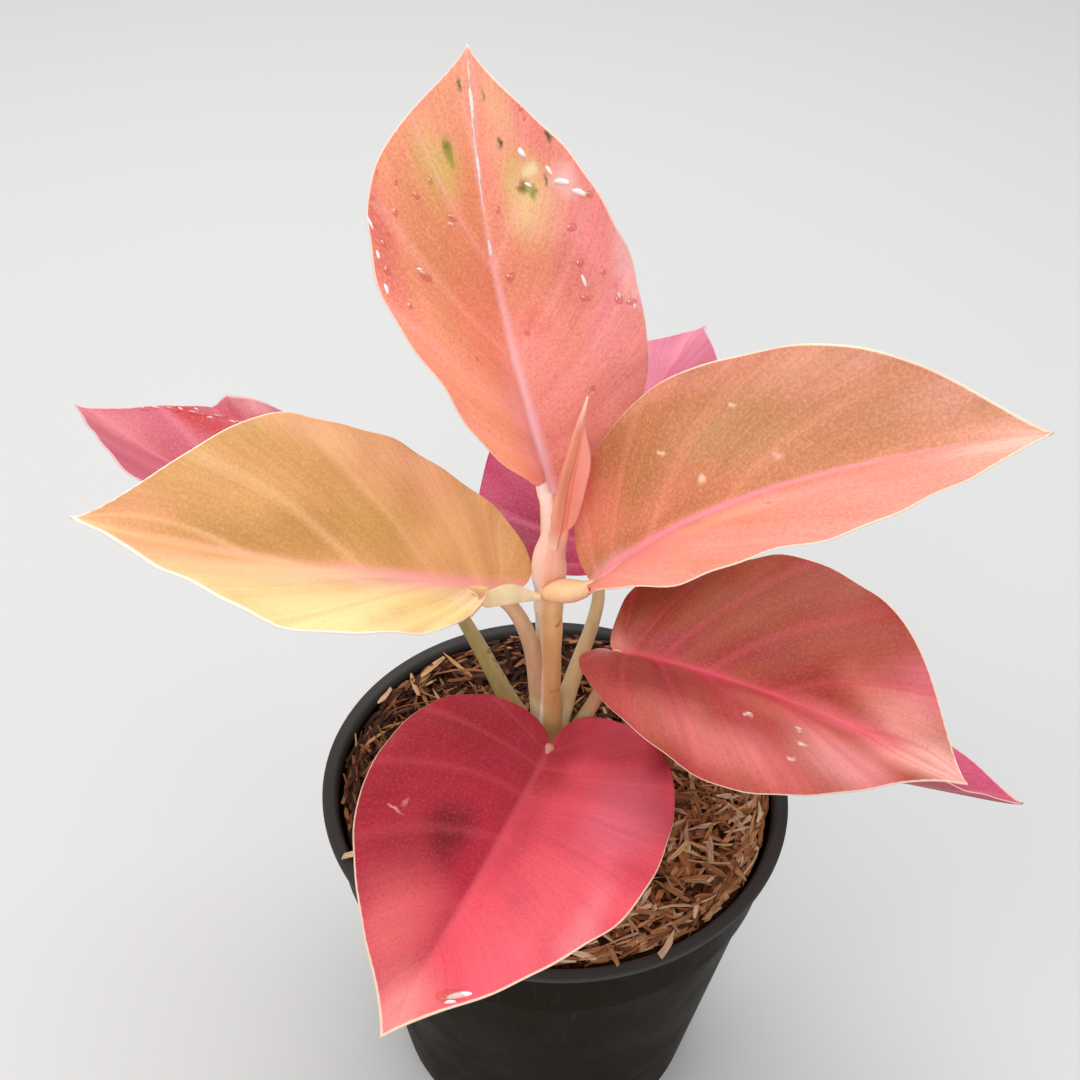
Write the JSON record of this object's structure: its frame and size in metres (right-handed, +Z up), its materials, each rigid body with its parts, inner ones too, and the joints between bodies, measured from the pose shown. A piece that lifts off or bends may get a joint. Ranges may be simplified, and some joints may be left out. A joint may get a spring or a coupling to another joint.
{
  "type": "potted aglaonema",
  "caption": "Young aglaonema with broad pointed pink, brown and ochre leaves on pale stalks, a rolled new leaf, and a dark round nursery pot filled with coir and bark.",
  "frame": {"origin": "middle of the pot's flat base, on the surface it stands on", "axes": "+Z up; +Y away from the viewer of the picture, so that the front leaf hangs towards -Y; +X to the viewer's right"},
  "size_m": [0.295, 0.2364, 0.3405],
  "materials": {
    "pot": "satin",
    "growing_medium": "matte",
    "stem": "satin",
    "sheath": "satin",
    "spear": "satin",
    "petiole": "satin",
    "leaf_salmon": "satin",
    "leaf_ochre": "satin",
    "leaf_tan": "satin",
    "leaf_russet": "satin",
    "leaf_crimson": "satin",
    "leaf_pink": "satin"
  },
  "bodies": {
    "root": {"pot": "pot", "growing_medium": "growing_medium", "stem": "stem", "sheath": "sheath", "spear": "spear", "blade_top": "leaf_salmon", "petiole_top": "petiole", "blade_left": "leaf_ochre", "petiole_left": "petiole", "blade_right": "leaf_tan", "petiole_right": "petiole", "blade_lower_right": "leaf_russet", "petiole_lower_right": "petiole", "blade_front": "leaf_crimson", "petiole_front": "petiole", "blade_back_left": "leaf_pink", "petiole_back_left": "petiole", "blade_back_right": "leaf_pink", "petiole_back_right": "petiole", "blade_side_right": "leaf_pink", "petiole_side_right": "petiole"}
  },
  "joints": []
}
